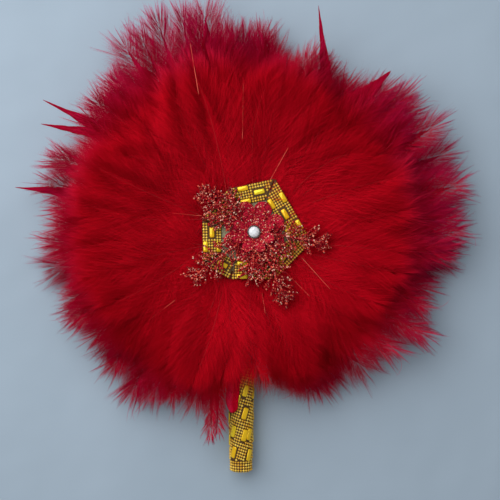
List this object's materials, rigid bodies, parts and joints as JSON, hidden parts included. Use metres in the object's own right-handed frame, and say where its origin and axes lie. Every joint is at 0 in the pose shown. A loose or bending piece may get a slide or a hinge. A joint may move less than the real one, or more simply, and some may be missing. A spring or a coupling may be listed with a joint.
{
  "type": "feather hand fan",
  "caption": "Round hand fan of layered red dyed feathers on card discs, with a straight handle in beaded gold trim and a trimmed flower ornament on its face.",
  "frame": {"origin": "middle of the back cover's flat face, under the middle of the card discs", "axes": "+Z out of the decorated face, with the fan lying on its back; +Y from the handle to the top of the feathers; +X to the right when looking at the face with the handle down"},
  "size_m": [0.3762, 0.3987, 0.0498],
  "materials": {
    "feather": "matte",
    "wood": "satin",
    "card": "matte",
    "cover_felt": "matte",
    "pad_cloth": "matte",
    "gold_trim": "gloss",
    "petal_cloth": "satin",
    "glitter": "gloss",
    "setting_metal": "polished",
    "crystal": "polished"
  },
  "bodies": {
    "root": {"back_cover": "cover_felt", "back_disc": "card", "back_plume_1": "feather", "back_plume_2": "feather", "back_plume_3": "feather", "back_plume_4": "feather", "back_plume_5": "feather", "back_plume_6": "feather", "back_plume_7": "feather", "center_pad": "pad_cloth", "center_stone": "crystal", "flower_lower": "petal_cloth", "flower_upper": "petal_cloth", "front_disc": "card", "handle_end_cup": "gold_trim", "handle_rod": "wood", "handle_trim_1": "gold_trim", "handle_trim_2": "gold_trim", "handle_trim_3": "gold_trim", "handle_trim_4": "gold_trim", "handle_vane": "feather", "inner_plume_1": "feather", "inner_plume_2": "feather", "inner_plume_3": "feather", "inner_plume_4": "feather", "inner_plume_5": "feather", "inner_plume_6": "feather", "inner_plume_7": "feather", "inner_plume_8": "feather", "middle_plume_1": "feather", "middle_plume_2": "feather", "middle_plume_3": "feather", "middle_plume_4": "feather", "middle_plume_5": "feather", "middle_plume_6": "feather", "middle_plume_7": "feather", "middle_plume_8": "feather", "middle_plume_9": "feather", "outer_plume_1": "feather", "outer_plume_10": "feather", "outer_plume_2": "feather", "outer_plume_3": "feather", "outer_plume_4": "feather", "outer_plume_5": "feather", "outer_plume_6": "feather", "outer_plume_7": "feather", "outer_plume_8": "feather", "outer_plume_9": "feather", "ring_trim_bottom": "gold_trim", "ring_trim_left": "gold_trim", "ring_trim_lower_left": "gold_trim", "ring_trim_lower_right": "gold_trim", "ring_trim_right": "gold_trim", "ring_trim_top": "gold_trim", "ring_trim_upper_left": "gold_trim", "sprig_lower_left": "glitter", "sprig_lower_right": "glitter", "sprig_right": "glitter", "sprig_upper_left": "glitter", "stone_setting": "setting_metal"}
  },
  "joints": []
}
